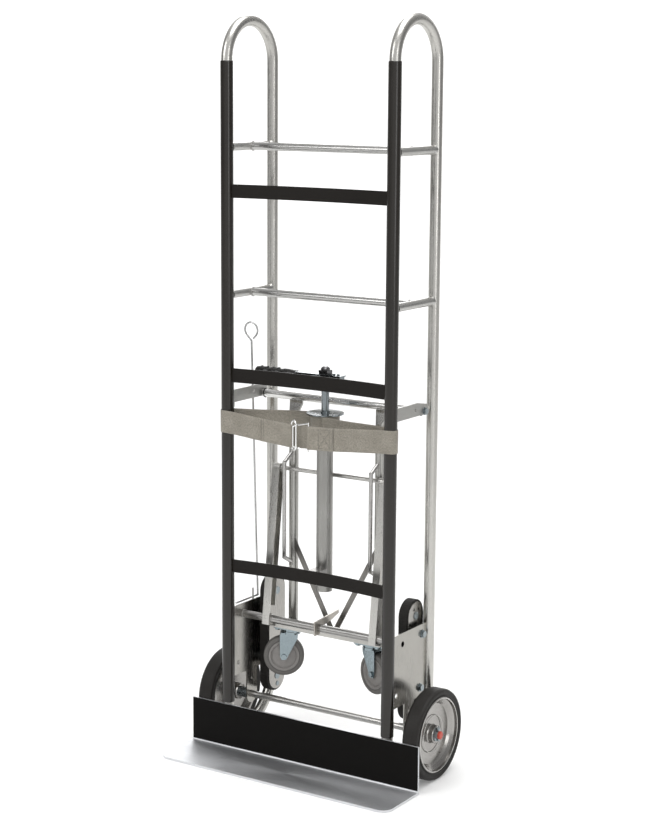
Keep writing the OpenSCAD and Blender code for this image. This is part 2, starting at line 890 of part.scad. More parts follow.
module release_rod() {
  color("#8f9194") place() union() {
    rod_yz(rod_x, rod_y0, rod_z0, rod_y1, rod_z1, rod_r);
    translate([rod_x, rod_y0, rod_z0]) sphere(r = rod_r + 0.4);
    rod_y(40, rod_y0, rod_x, rod_z0, rod_r);
    translate([rod_x, rod_y0, rod_z0]) rotate([-rod_tilt, 0, 0]) translate([0, 0, rod_len]) union() {
      translate([0, 0, 24.6]) rotate([90, 0, 0]) rotate([0, 0, -44.4])
        rotate_extrude(angle = 268.8) translate([17.5, 0]) circle(r = rod_r - 0.2, $fn = 24);
      rod_pp([-12.5, 0, 12.35], [0, 0, -0.5], rod_r - 0.2);
      rod_pp([12.5, 0, 12.35], [5.4, 0, 5.3], rod_r - 0.2);
      sphere(r = rod_r + 0.3);
    }
  }
}

// guide eye on the left side bar and the stop pin on the left side plate
module rod_fittings() {
  color("#9a9a98") place() union() {
    translate([rod_x, rod_y0, rod_z0]) rotate([-rod_tilt, 0, 0]) translate([0, 0, 482]) difference() {
      union() {
        cylinder(r = 4.6, h = 8);
        translate([0, -4, 0]) cube([5.2, 8, 8]);
      }
      translate([0, 0, -1]) cylinder(r = rod_r + 0.05, h = 10);
    }
    rod_z(plate_top + 0.05, plate_top + 28, -214.5, 97, 2);
  }
}

rail_left();
rail_right();
sleeves();
band_top();
band_mid();
band_low();
crossbars();
stubs();
side_bars();
toe_plate();
toe_facing();
side_plate_left();
side_plate_right();
pivot_tube();
gusset();
axle();
axle_fittings();
axle_caps();
winder_tube();
winder_mounts();
strap_left();
strap_right();
buckle_ring();
buckle_hook();
crawler_plates();
belt_left();
belt_right();
crawler_bolts();
rod_fittings();
roller_top_left();
roller_low_left();
roller_top_right();
roller_low_right();
spindle();
webbing_coil();
ratchet_gear();
handle_bar();
handle_head();
handle_grip();
leg_tube();
leg_bolts();
posts();
guides();
struts();
leg_bar();
slide_rod();
brace_left();
brace_right();
caster_plates();
fork_left();
fork_right();
tread_left();
tread_right();
core_left();
core_right();
tyre_left();
tyre_right();
hub_left();
hub_right();
release_rod();
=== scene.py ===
# Looks of the stair climbing trolley: materials, webbing, belt ribs, welds, stage and camera.
import math
import random

import bpy
from mathutils import Matrix, Vector


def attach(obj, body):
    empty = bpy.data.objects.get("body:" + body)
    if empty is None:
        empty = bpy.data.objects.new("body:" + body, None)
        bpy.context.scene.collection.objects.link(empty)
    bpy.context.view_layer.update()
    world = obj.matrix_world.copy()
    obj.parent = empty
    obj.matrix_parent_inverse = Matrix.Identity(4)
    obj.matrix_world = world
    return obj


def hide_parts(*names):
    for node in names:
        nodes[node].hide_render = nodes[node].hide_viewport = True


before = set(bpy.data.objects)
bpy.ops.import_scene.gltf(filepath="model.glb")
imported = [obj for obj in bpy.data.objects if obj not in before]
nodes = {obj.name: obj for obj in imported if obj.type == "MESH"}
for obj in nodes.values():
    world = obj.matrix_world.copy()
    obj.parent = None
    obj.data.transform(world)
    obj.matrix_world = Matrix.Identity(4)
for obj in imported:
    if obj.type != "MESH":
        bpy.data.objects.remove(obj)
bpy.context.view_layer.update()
rng = random.Random(7)

MM = 0.001
# driving sizes in mm, the same as in the CAD source
Y_MID = 22.9           # the front rail axis is this far in front of the origin
RAIL_X = 214.7         # rail axes left and right of the middle
WIND_Y = 73.0          # strap spindle axis
AXLE_Y = 91.0
AXLE_Z = 102.5
WHEEL_X = 258.0        # inner face of a main wheel
POST_X = 115.6         # posts of the swinging leg
LEG_Y = 140.0          # hinge tube of the swinging leg
LEG_Z = 815.5
PIVOT_Y = 60.0         # cross tube that the braces turn on
PIVOT_Z = 305.5
WEB_Z1 = 286.6         # top face of the caster bar
CASTER_X = 109.5
CASTER_Y = 104.0
CASTER_Z = 212.5
CASTER_TRAIL = 17.5
STUB_Y = 87.0
STUB_HEIGHTS = (1382.0, 1055.0)
TUBE_R = 9.5           # crossbars and stubs
CRAWL_Y = 140.4        # both crawler rollers
CRAWL_TOP = 349.0
CRAWL_LOW = 142.0
CRAWL_R = 36.0
BELT_X = (178.4, 198.7)
GRIP_X = -176.0        # first finger groove of the grip
GRIP_TOP = 889.2
STRAP_W = 50.8
STRAP_T = 1.6
STRAP_Z = 745.0
SLEEVE_R = 14.3
COIL_R = 32.5
PATH_R = SLEEVE_R + 0.3 + STRAP_T / 2


def P(x, y, z):
    """A point of the working frame, in millimetres from the front rail axis, in metres."""
    return Vector((x * MM, (y - Y_MID) * MM, z * MM))


# ---- material graph helper ----

class Graph:
    def __init__(self, name):
        self.mat = bpy.data.materials.new(name)
        self.mat.use_nodes = True
        self.tree = self.mat.node_tree
        self.tree.nodes.clear()
        out = self.tree.nodes.new("ShaderNodeOutputMaterial")
        self.bsdf = self.tree.nodes.new("ShaderNodeBsdfPrincipled")
        self.tree.links.new(self.bsdf.outputs[0], out.inputs[0])
        self.coord = self.tree.nodes.new("ShaderNodeTexCoord")

    def node(self, kind, ins=None, out=0, **props):
        n = self.tree.nodes.new("ShaderNode" + kind)
        for key, value in props.items():
            setattr(n, key, value)
        for key, value in (ins or {}).items():
            self.set(n.inputs[key], value)
        return n.outputs[out]

    def set(self, socket, value):
        if isinstance(value, bpy.types.NodeSocket):
            self.tree.links.new(value, socket)
        else:
            socket.default_value = value

    def math(self, op, a, b=0.0, clamp=False):
        return self.node("Math", {0: a, 1: b}, operation=op, use_clamp=clamp)

    def noise(self, scale, stretch=(1, 1, 1), detail=3.0, rough=0.5, shift=(0, 0, 0), source=None):
        v = self.node("Mapping", {"Vector": source or self.coord.outputs["Object"], "Scale": stretch,
                                  "Location": shift})
        return self.node("TexNoise", {"Vector": v, "Scale": scale, "Detail": detail, "Roughness": rough})

    def span(self, value, lo, hi, from_lo=0.3, from_hi=0.7):
        return self.node("MapRange", {"Value": value, "From Min": from_lo, "From Max": from_hi,
                                      "To Min": lo, "To Max": hi})

    def mix(self, fac, a, b):
        n = self.tree.nodes.new("ShaderNodeMix")
        n.data_type = "RGBA"
        self.set(n.inputs[0], fac)
        self.set(n.inputs[6], a)
        self.set(n.inputs[7], b)
        return n.outputs[2]

    def bump(self, height, strength, distance=0.001, under=None):
        ins = {"Height": height, "Strength": strength, "Distance": distance}
        if under is not None:
            ins["Normal"] = under
        return self.node("Bump", ins)

    def shade(self, **values):
        for key, value in values.items():
            self.set(self.bsdf.inputs[key.replace("_", " ")], value)
        return self.mat


def rgb(r, g, b):
    return (r, g, b, 1.0)


def dim(c, k):
    return (c[0] * k, c[1] * k, c[2] * k, 1.0)


def metal(name, color, rough, grain=(40, 40, 1), marks=0.10, spread=0.08, aniso=0.0, ripple=0.0, shift=0.0):
    """Worked metal: fine lines along the stretched direction, cloudy tint, uneven gloss, faint scratches."""
    g = Graph(name)
    lines = g.noise(28.0, grain, 5.0, 0.62, (shift, shift, shift))
    cloud = g.noise(9.0, (1, 1, 1), 3.0, 0.55, (shift, 0, 0))
    nicks = g.noise(60.0, (1, 3, 1), 6.0, 0.7, (0, shift, 0))
    tone = g.mix(g.span(cloud, 0.0, 1.0), color, dim(color, 1.0 - marks))
    tone = g.mix(g.span(lines, 0.0, 0.55), tone, dim(color, 1.0 - 1.6 * marks))
    gloss = g.math("ADD", g.span(lines, rough - spread, rough + spread), g.span(cloud, -0.03, 0.04))
    normal = g.bump(lines, 0.10, 0.0004)
    normal = g.bump(nicks, 0.05, 0.0004, normal)
    if ripple:
        normal = g.bump(g.noise(7.0, (1, 1, 1), 1.0), ripple, 0.004, normal)
    return g.shade(Base_Color=tone, Metallic=1.0, Roughness=gloss, Normal=normal, Anisotropic=aniso)


def turned(name, color, rough, axis_x, axis_y, axis_z, pitch=0.0006):
    """Spun metal: fine rings about an axis that runs along X through the given point."""
    g = Graph(name)
    sep = g.tree.nodes.new("ShaderNodeSeparateXYZ")
    g.set(sep.inputs[0], g.coord.outputs["Object"])
    dy = g.math("SUBTRACT", sep.outputs[1], axis_y)
    dz = g.math("SUBTRACT", sep.outputs[2], axis_z)
    rad = g.math("SQRT", g.math("ADD", g.math("MULTIPLY", dy, dy), g.math("MULTIPLY", dz, dz)))
    vec = g.node("CombineXYZ", {0: g.math("DIVIDE", rad, pitch), 1: 0.0, 2: axis_x})
    rings = g.node("TexNoise", {"Vector": vec, "Scale": 1.0, "Detail": 3.0})
    cloud = g.noise(22.0, (1, 1, 1), 4.0, 0.6)
    tone = g.mix(g.span(cloud, 0, 1), color, dim(color, 0.82))
    tone = g.mix(g.span(rings, 0, 0.35), tone, dim(color, 0.7))
    gloss = g.math("ADD", g.span(rings, rough - 0.05, rough + 0.08), g.span(cloud, -0.03, 0.05))
    return g.shade(Base_Color=tone, Metallic=1.0, Roughness=gloss, Normal=g.bump(rings, 0.08, 0.0003))


def coated(name, color, rough, peel=0.10, dust=0.10, scale=90.0, metallic=0.0, spec=0.5, stretch=(1, 1, 1)):
    """Paint, plastic or rubber: fine skin texture, dusty tone, uneven gloss."""
    g = Graph(name)
    skin = g.noise(scale, stretch, 4.0, 0.6)
    cloud = g.noise(6.0, (1, 1, 0.6), 3.0, 0.6)
    lift = (color[0] + dust * 0.10, color[1] + dust * 0.097, color[2] + dust * 0.092, 1.0)
    tone = g.mix(g.span(cloud, 0.0, 1.0), color, lift)
    tone = g.mix(g.span(skin, 0.0, 0.4), tone, dim(color, 0.8))
    gloss = g.math("ADD", g.span(cloud, rough - 0.04, rough + 0.06), g.span(skin, -0.03, 0.03))
    g.set(g.bsdf.inputs["Specular IOR Level"], spec)
    return g.shade(Base_Color=tone, Metallic=metallic, Roughness=gloss, Normal=g.bump(skin, peel, 0.0006))


WARP_PITCH = 0.0034     # metres
PICK_PITCH = 0.0040


def weave(g, u, v, light, dark):
    """Webbing over u along and v across, both in metres: warp ribs with alternate picks, painted shade in
    the grooves between them, and soiled yarn.
    """
    warp = g.math("SINE", g.math("MULTIPLY", v, 2 * math.pi / WARP_PITCH))
    row = g.math("SIGN", warp)
    pick = g.math("SINE", g.math("ADD", g.math("MULTIPLY", u, 2 * math.pi / PICK_PITCH),
                                 g.math("MULTIPLY", row, math.pi / 2)))
    body = g.math("ABSOLUTE", warp)
    high = g.math("ADD", g.math("MULTIPLY", body, 0.55), g.math("MULTIPLY", pick, 0.32))
    vec = g.node("CombineXYZ", {0: u, 1: v, 2: 0.0})
    yarn = g.node("TexNoise", {"Vector": vec, "Scale": 300.0, "Detail": 4.0})
    soil = g.node("TexNoise", {"Vector": vec, "Scale": 22.0, "Detail": 3.0})
    # lighter on the crowns of the ribs and picks, darker in the grooves between them: painted shade in the
    # grooves
    tone = g.mix(g.span(high, 0.0, 1.0, -0.3, 0.9), dark, light)
    tone = g.mix(g.span(soil, 0.0, 0.35), tone, dark)
    tone = g.mix(g.span(yarn, 0.0, 0.55, 0.32, 0.72), tone, dim(dark, 0.8))
    normal = g.bump(g.math("ADD", high, g.math("MULTIPLY", yarn, 0.3)), 0.55, 0.0004)
    rough = g.span(yarn, 0.70, 0.86)
    return g.shade(Base_Color=tone, Roughness=rough, Normal=normal, Sheen_Weight=0.25, Sheen_Roughness=0.4)


def webbing_flat(name, light, dark):
    g = Graph(name)
    sep = g.tree.nodes.new("ShaderNodeSeparateXYZ")
    g.set(sep.inputs[0], g.coord.outputs["UV"])
    return weave(g, sep.outputs[0], sep.outputs[1], light, dark)


def webbing_round(name, light, dark):
    g = Graph(name)
    sep = g.tree.nodes.new("ShaderNodeSeparateXYZ")
    g.set(sep.inputs[0], g.coord.outputs["Object"])
    ang = g.node("Math", {0: g.math("SUBTRACT", sep.outputs[1], (WIND_Y - Y_MID) * MM), 1: sep.outputs[0]},
                 operation="ARCTAN2")
    return weave(g, g.math("MULTIPLY", ang, COIL_R * MM), sep.outputs[2], light, dark)


# ---- materials of the CAD nodes ----

ALU = rgb(0.545, 0.535, 0.508)
m_rail = metal("rail_tube", ALU, 0.27, (30, 30, 1.2), 0.06, 0.06)
m_cross = metal("cross_tube", rgb(0.47, 0.466, 0.455), 0.24, (1.2, 30, 30), 0.08, 0.06)
m_stub = metal("stub_tube", rgb(0.51, 0.5057, 0.4887), 0.30, (30, 1.2, 30), 0.08, 0.06)
m_sleeve = coated("sleeve", rgb(0.0080, 0.0056, 0.0032), 0.20, 0.05, 0.04, 40.0, 0.0, 0.56, (1, 1, 0.12))
m_band = coated("band_paint", rgb(0.0048, 0.0030, 0.0016), 0.50, 0.10, 0.02, 220.0, 0.0, 0.24)
m_side_bar = metal("bar_steel", rgb(0.43, 0.4257, 0.4085), 0.40, (30, 1.5, 30), 0.12)
m_toe = metal("toe_alloy", rgb(0.80, 0.81, 0.83), 0.48, (0.8, 26, 26), 0.12, 0.07, 0.3)
m_facing = coated("facing", rgb(0.0030, 0.0026, 0.0022), 0.90, 0.50, 0.02, 900.0, 0.0, 0.18)
m_side_plate = metal("side_alloy", rgb(0.4056, 0.3939, 0.3666), 0.24, (26, 26, 1), 0.10, 0.05, 0.0, 0.10)
m_pivot = metal("pivot_steel", rgb(0.4, 0.392, 0.38), 0.30, (1, 30, 30), 0.14)
m_gusset = metal("gusset_steel", rgb(0.46, 0.4324, 0.3956), 0.36, (10, 10, 10), 0.18)
m_axle = metal("axle_steel", rgb(0.56, 0.55, 0.53), 0.30, (1, 30, 30), 0.16)
m_zinc = metal("zinc", rgb(0.322, 0.364, 0.385), 0.24, (8, 8, 8), 0.14, 0.08)
m_hub_lip = metal("hub_lip", rgb(0.62, 0.61, 0.59), 0.22, (12, 12, 12), 0.1, 0.05)
m_seam = coated("caster_seam", rgb(0.07, 0.066, 0.062), 0.55, 0.15, 0.2, 300.0)
m_red = coated("red_tip", rgb(0.52, 0.055, 0.03), 0.36, 0.12, 0.2, 300.0)
m_winder = metal("winder_alloy", rgb(0.35, 0.345, 0.33), 0.31, (30, 30, 1), 0.16, 0.07)
m_bracket = metal("bracket_steel", rgb(0.40, 0.39, 0.38), 0.40, (10, 10, 10), 0.2)
m_chrome = metal("buckle_chrome", rgb(0.86, 0.86, 0.85), 0.12, (6, 6, 6), 0.06, 0.04)
m_crawler = metal("crawler_alloy", rgb(0.425, 0.4123, 0.391), 0.24, (20, 20, 1), 0.16, 0.06)
m_belt = coated("belt_rubber", rgb(0.012, 0.0105, 0.009), 0.60, 0.35, 0.16, 500.0, 0.0, 0.35)
m_roller = coated("roller_plastic", rgb(0.08, 0.075, 0.07), 0.45, 0.15, 0.2, 200.0)
m_handle = metal("handle_zinc", rgb(0.28, 0.31, 0.325), 0.15, (8, 8, 8), 0.14, 0.08)
# the ratchet head's zinc is kept much darker than the handle's zinc: painted shade on the head
m_head_shaded = metal("head_zinc", rgb(0.16, 0.16, 0.165), 0.25, (8, 8, 8), 0.2, 0.08)
m_grip = coated("grip_rubber", rgb(0.007, 0.0065, 0.006), 0.26, 0.12, 0.1, 300.0, 0.0, 0.45)
m_leg = metal("leg_alloy", rgb(0.44, 0.435, 0.415), 0.28, (30, 30, 1), 0.14, 0.06)
m_leg_tube = metal("leg_cross_alloy", rgb(0.70, 0.695, 0.68), 0.20, (1, 30, 30), 0.12, 0.06)
m_guide = metal("guide_steel", rgb(0.52, 0.51, 0.50), 0.26, (20, 20, 2), 0.16)
m_strut = metal("strut_steel", rgb(0.25, 0.24, 0.226), 0.32, (12, 12, 4), 0.18)
m_angle = metal("angle_alloy", rgb(0.52, 0.51, 0.485), 0.30, (1, 24, 24), 0.16)
m_brace = metal("brace_steel", rgb(0.70, 0.69, 0.66), 0.30, (24, 24, 1), 0.18)
m_cast_zinc = metal("caster_zinc", rgb(0.3024, 0.36, 0.3852), 0.20, (8, 8, 8), 0.16, 0.08)
m_tread = coated("tread_rubber", rgb(0.125, 0.119, 0.112), 0.60, 0.20, 0.3, 260.0, 0.0, 0.4)
m_core = coated("core_plastic", rgb(0.22, 0.208, 0.198), 0.46, 0.12, 0.4, 160.0)
m_tyre = coated("tyre_rubber", rgb(0.007125, 0.00576, 0.004428), 0.50, 0.22, 0.10, 260.0, 0.0, 0.30)
m_rod = metal("rod_steel", rgb(0.56, 0.56, 0.56), 0.24, (20, 20, 1.5), 0.14)
m_weld = metal("weld", rgb(0.60, 0.59, 0.57), 0.34, (60, 60, 60), 0.25, 0.1)
m_thread = coated("thread", rgb(0.10, 0.095, 0.085), 0.75, 0.4, 0.2, 900.0)
m_hub_l = turned("hub_alloy_left", rgb(0.39, 0.3783, 0.3627), 0.20, 0.1, (AXLE_Y - Y_MID) * MM, AXLE_Z * MM)
m_hub_r = turned("hub_alloy_right", rgb(0.39, 0.3783, 0.3627), 0.20, 0.7, (AXLE_Y - Y_MID) * MM, AXLE_Z * MM)
WEB_LIGHT, WEB_DARK = rgb(0.61, 0.565, 0.480), rgb(0.088, 0.079, 0.063)
m_web = webbing_flat("webbing", WEB_LIGHT, WEB_DARK)
m_coil = webbing_round("webbing_wound", WEB_LIGHT, WEB_DARK)

LOOKS = {
    m_rail: "rail_left rail_right", m_cross: "crossbars", m_stub: "stubs", m_sleeve: "sleeves",
    m_band: "band_top band_mid band_low", m_side_bar: "side_bars rod_fittings", m_toe: "toe_plate",
    m_facing: "toe_facing", m_side_plate: "side_plate_left side_plate_right", m_pivot: "pivot_tube",
    m_gusset: "gusset", m_axle: "axle slide_rod",
    m_zinc: "axle_fittings crawler_bolts leg_bolts ratchet_gear", m_red: "axle_caps",
    m_winder: "winder_tube", m_bracket: "winder_mounts", m_chrome: "buckle_ring buckle_hook",
    m_crawler: "crawler_plates", m_belt: "belt_left belt_right",
    m_roller: "roller_top_left roller_low_left roller_top_right roller_low_right",
    m_handle: "spindle handle_bar", m_head_shaded: "handle_head", m_grip: "handle_grip", m_leg: "posts",
    m_leg_tube: "leg_tube", m_guide: "guides", m_strut: "struts", m_angle: "leg_bar",
    m_brace: "brace_left brace_right", m_cast_zinc: "caster_plates fork_left fork_right",
    m_tread: "tread_left tread_right", m_core: "core_left core_right", m_tyre: "tyre_left tyre_right",
    m_hub_l: "hub_left", m_hub_r: "hub_right", m_rod: "release_rod", m_coil: "webbing_coil",
    m_web: "strap_left strap_right",
}
for material, names in LOOKS.items():
    for n in names.split():
        nodes[n].data.materials.clear()
        nodes[n].data.materials.append(material)


# ---- mesh helpers ----

def make(name, verts, faces, material, body, smooth=True, uvs=None):
    me = bpy.data.meshes.new(name)
    me.from_pydata(verts, [], faces)
    me.validate()
    if uvs is not None:
        layer = me.uv_layers.new(name="UVMap")
        for poly in me.polygons:
            for li in poly.loop_indices:
                layer.data[li].uv = uvs[me.loops[li].vertex_index]
    me.materials.append(material)
    for poly in me.polygons:
        poly.use_smooth = smooth
    ob = bpy.data.objects.new(name, me)
    bpy.context.scene.collection.objects.link(ob)
    if body:
        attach(ob, body)
    return ob


def strip(name, path, lift, ruffle, material, body="frame"):
    """Closed strap along plan points in mm. lift(s, x) moves it up or down, ruffle(s, x, f) out or in."""
    across = 14            # steps over the width
    verts = []
    uvs = []
    faces = []
    length = 0.0
    ring = 2 * (across + 1)
    for i, (x, y) in enumerate(path):
        a, b = path[max(0, i - 1)], path[min(len(path) - 1, i + 1)]
        t = Vector((b[0] - a[0], b[1] - a[1], 0)).normalized()
        n = Vector((t.y, -t.x, 0))
        if i:
            length += math.hypot(x - path[i - 1][0], y - path[i - 1][1])
        dz = lift(length, x)
        for side in (1, -1):
            for j in range(across + 1):
                k = j if side == 1 else across - j
                f = k / across
                edge = min(f, 1 - f) * STRAP_W
                h = STRAP_T / 2 * (1.0 if edge > 1.0 else 0.62) + side * ruffle(length, x, f)
                verts.append(P(x + n.x * h * side, y + n.y * h * side, STRAP_Z + dz + f * STRAP_W))
                uvs.append((length * MM, f * STRAP_W * MM))
    for i in range(len(path) - 1):
        for j in range(ring):
            a = i * ring + j
            b = i * ring + (j + 1) % ring
            faces.append((a, b, b + ring, a + ring))
    faces.append(tuple(range(ring)))
    faces.append(tuple(reversed(range((len(path) - 1) * ring, len(path) * ring))))
    return make(name, verts, faces, material, body, True, uvs), length


def beads(name, spots, material, body="frame"):
    """A group of small lumpy domes: (centre, radius, squash) each; used for weld ripples and stitches."""
    rows = 7
    cols = 10
    verts = []
    faces = []
    for centre, radius, axes in spots:
        base = len(verts)
        for i in range(rows + 1):
            a = math.pi * i / rows
            for j in range(cols):
                b = 2 * math.pi * j / cols
                d = Vector((math.sin(a) * math.cos(b), math.sin(a) * math.sin(b), math.cos(a)))
                k = radius * (1 + 0.06 * math.sin(3 * b + 5 * a))
                verts.append(centre + (axes @ d) * k * MM)
        for i in range(rows):
            for j in range(cols):
                p = base + i * cols
                faces.append((p + j, p + (j + 1) % cols, p + cols + (j + 1) % cols, p + cols + j))
    return make(name, verts, faces, material, body)


# ---- load strap ----

def arc(cx, cy, r, a0, a1, steps):
    return [(cx + r * math.cos(math.radians(a0 + (a1 - a0) * i / steps)),
             cy + r * math.sin(math.radians(a0 + (a1 - a0) * i / steps))) for i in range(steps + 1)]


WRAP_GAP = math.hypot(RAIL_X, WIND_Y)
COIL_PATH = COIL_R + 0.5 + STRAP_T / 2
LEAN_R = math.degrees(math.atan2(WIND_Y, RAIL_X) - math.asin((COIL_PATH + PATH_R) / WRAP_GAP))
LEAN_L = math.degrees(math.atan2(WIND_Y, RAIL_X) + math.asin((COIL_PATH - PATH_R) / WRAP_GAP))


def fold_y(x, end_x, bar, gap):
    """How far forward the doubled end of a strap lies between its sewn end and the wire it goes round."""
    k = (end_x - x) / (end_x - bar[0])
    return -PATH_R - 1.9 + (bar[1] - gap + PATH_R + 1.9) * k ** 2


def strap_path(end_x, bar, gap, lean, run):
    """From the sewn end, round the wire at bar, along the front, round the sleeve and back to the spool."""
    bx, by = bar
    steps = int((end_x - bx) / 3)
    out = [(x, fold_y(x, end_x, bar, gap)) for x in (end_x + (bx - end_x) * i / steps for i in range(steps))]
    out += arc(bx, by, gap, -90, -270, 14)
    out += [(bx + 34 * i / 12, by + gap + (-PATH_R - by - gap) * (0.5 - 0.5 * math.cos(math.pi * i / 12)))
            for i in range(1, 13)]
    x0 = bx + 34
    out += [(x0 + (RAIL_X - x0) * i / 50, -PATH_R) for i in range(1, 50)]
    out += arc(RAIL_X, 0, PATH_R, -90, 90 - lean, 28)
    x1, y1 = out[-1]
    c, s = math.cos(math.radians(lean)), math.sin(math.radians(lean))
    return out + [(x1 - run * c * i / 44, y1 + run * s * i / 44) for i in range(1, 45)]


def sag(x):
    """How far the front run hangs below its ends, in mm."""
    f = max(0.0, 1 - (abs(x) / RAIL_X) ** 2)
    return -12.0 * f ** 1.5 + 0.4 * math.sin(x * 0.06) * f


def lift_for(path):
    total = sum(math.dist(path[i], path[i + 1]) for i in range(len(path) - 1))

    def lift(s, x):
        if s < total - 240:
            return sag(x)
        return 0.3 * math.sin(x * 0.05)
    return lift


def ruffle(s, x, f):
    """Slack folds close to the buckle and a slight cup across the rest."""
    near = math.exp(-((abs(x + 5) - 38) / 20) ** 2) if s < 70 else 0.0
    return (0.55 * near * math.sin(2 * math.pi * (1.6 * f + x * 0.013)) * math.sin(math.pi * f)
            + 0.12 * math.sin(x * 0.045 + 3 * f))


# each half's folded end: where it is sewn, the wire it goes round, and its middle line's radius there
FOLD_R = (80, (18, -20.8), 2.7)
FOLD_L = (112, (27.6, -18.6), 3.1)
RUN_R = 203            # straight run back to the spool
RUN_L = 220
PAD_END = 62           # the pad behind the buckle runs from here to the left
PAD_STEPS = 50
right_path = strap_path(*FOLD_R, LEAN_R, RUN_R)
left_path = [(-x, y) for x, y in strap_path(*FOLD_L, LEAN_L, RUN_L)]
pad_path = [(PAD_END - 2 * i, -PATH_R + 2.1) for i in range(PAD_STEPS)]
strap_r, len_r = strip("strap_web_right", right_path, lift_for(right_path), ruffle, m_web)
strap_l, len_l = strip("strap_web_left", left_path, lift_for(left_path), ruffle, m_web)
pad, len_p = strip("strap_pad", pad_path, lambda s, x: sag(x),
                   lambda s, x, f: 0.12 * math.sin(x * 0.045 + 3 * f), m_web)
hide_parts("strap_right")
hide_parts("strap_left")


def stitch(x, z, dx, dz):
    """One stitch on the front of a folded end, with its half lengths along and up the strap."""
    y = fold_y(x, *FOLD_R) if x > 0 else fold_y(-x, *FOLD_L)
    return (P(x, y - STRAP_T / 2 - 0.1, STRAP_Z + sag(x) + z), 1.0, Matrix.Diagonal((dx, 0.45, dz)))


spots = []
for k in range(15):
    spots += [stitch(44 + 2 * k, z, 1.1, 0.8) for z in (7 + 2.64 * k, 44 - 2.64 * k)]
    spots += [stitch(x, 5 + 2.95 * k, 0.5, 1.15) for x in (44, 72, 77.5, -109, -104)]
spots += [stitch(44 + 2.8 * k, z, 1.15, 0.5) for k in range(11) for z in (5, 46)]
beads("strap_stitches", spots, m_thread)


# ---- turned rings and moulded lobes ----

def lathe(name, centre, axis, profile, material, body, segs=96, wave=0.0, lobes=0):
    """Ring turned about an axis; profile is (radius, height) in mm, closed. wave ripples its radius."""
    axis = Vector(axis).normalized()
    u = axis.orthogonal().normalized()
    v = axis.cross(u)
    verts, faces = [], []
    n = len(profile)
    for i in range(segs):
        a = 2 * math.pi * i / segs
        k = 1 + wave * math.sin(lobes * a)
        d = u * math.cos(a) + v * math.sin(a)
        for rad, h in profile:
            verts.append(centre + d * rad * k * MM + axis * h * MM)
    for i in range(segs):
        for j in range(n):
            a, b = i * n + j, i * n + (j + 1) % n
            c, d = ((i + 1) % segs) * n + (j + 1) % n, ((i + 1) % segs) * n + j
            faces.append((a, b, c, d))
    return make(name, verts, faces, material, body)


def bead_ring(rad, h, w):
    """Outline of a rounded ring of half width w at the given radius and height."""
    return [(rad + w * math.cos(math.radians(a)), h + 0.75 * w * math.sin(math.radians(a)))
            for a in range(0, 360, 30)]


# raised rings of a main wheel: name, radius, height over the inner face, half width, material,
# then steps round it, ripple and waves
WHEEL_RINGS = (
    ("tyre_bead_outer_", 86.6, 36.2, 1.3, m_tyre, 120, 0.0006, 40),
    ("tyre_ring_outer_", 94.5, 36.4, 0.9, m_tyre, 120, 0.0006, 60),
    ("tyre_ring_inner_", 94.5, 0.7, 0.9, m_tyre, 120, 0.0006, 60),
    ("hub_lip_", 82.4, 36.2, 1.1, m_hub_lip, 120, 0.0004, 18),
    ("hub_step_", 42.0, 20.9, 0.9, m_hub_lip, 96, 0.0006, 12),
)
for side, label, body in ((-1, "left", "wheel_l"), (1, "right", "wheel_r")):
    centre = P(side * WHEEL_X, AXLE_Y, AXLE_Z)
    for ring, rad, height, half, material, segs, wave, lobes in WHEEL_RINGS:
        outline = bead_ring(rad, height, half)
        lathe(ring + label, centre, (side, 0, 0), outline, material, body, segs, wave, lobes)

# each caster at its swivel angle at rest
for label, turn, side, body in (("left", 213, -1, "caster_wheel_l"), ("right", -19, 1, "caster_wheel_r")):
    c = math.cos(math.radians(turn))
    sn = math.sin(math.radians(turn))
    centre = P(side * CASTER_X + CASTER_TRAIL * c, CASTER_Y + CASTER_TRAIL * sn, CASTER_Z)
    for face in (-1, 1):
        axis = (-sn * face, c * face, 0)
        lathe("caster_seam_%s_%d" % (label, face + 1), centre, axis, bead_ring(36.5, 10.6, 0.8), m_seam,
              body, 72, 0.0008, 30)
        lathe("caster_rim_%s_%d" % (label, face + 1), centre, axis, bead_ring(27.5, 8.6, 0.8), m_core,
              body, 72, 0.0008, 20)

for side, label in ((-1, "left"), (1, "right")):
    lathe("leg_washer_" + label, P(side * 208, LEG_Y, LEG_Z), (side, 0, 0), bead_ring(9.9, 0, 1.4), m_tyre,
          "leg", 48, 0.002, 9)



def grip_lobes():
    """Raised crescents over the finger grooves of the grip."""
    verts = []
    faces = []
    rows = 18
    cols = 8
    arm = 8.2              # radius of a crescent's middle line
    for k in range(4):
        cx = GRIP_X + 15.5 * k
        base = len(verts)
        for i in range(rows + 1):
            a = math.radians(-80 + 160 * i / rows)
            fat = 2.3 * math.sin(math.pi * (0.08 + 0.84 * i / rows)) + 0.4
            for j in range(cols):
                b = 2 * math.pi * j / cols
                rad = arm + fat * math.cos(b)
                drop = 0.045 * (rad * math.sin(a)) ** 2
                verts.append(P(cx - 3 + rad * math.cos(a), WIND_Y + rad * math.sin(a),
                               GRIP_TOP - drop + fat * 0.8 * math.sin(b)))
        for i in range(rows):
            for j in range(cols):
                p0 = base + i * cols
                faces.append((p0 + j, p0 + (j + 1) % cols, p0 + cols + (j + 1) % cols, p0 + cols + j))
        faces.append(tuple(base + j for j in range(cols)))
        faces.append(tuple(base + rows * cols + cols - 1 - j for j in range(cols)))
    return make("grip_lobes", verts, faces, m_grip, "ratchet_handle")


grip_lobes()


# ---- belt ribs ----

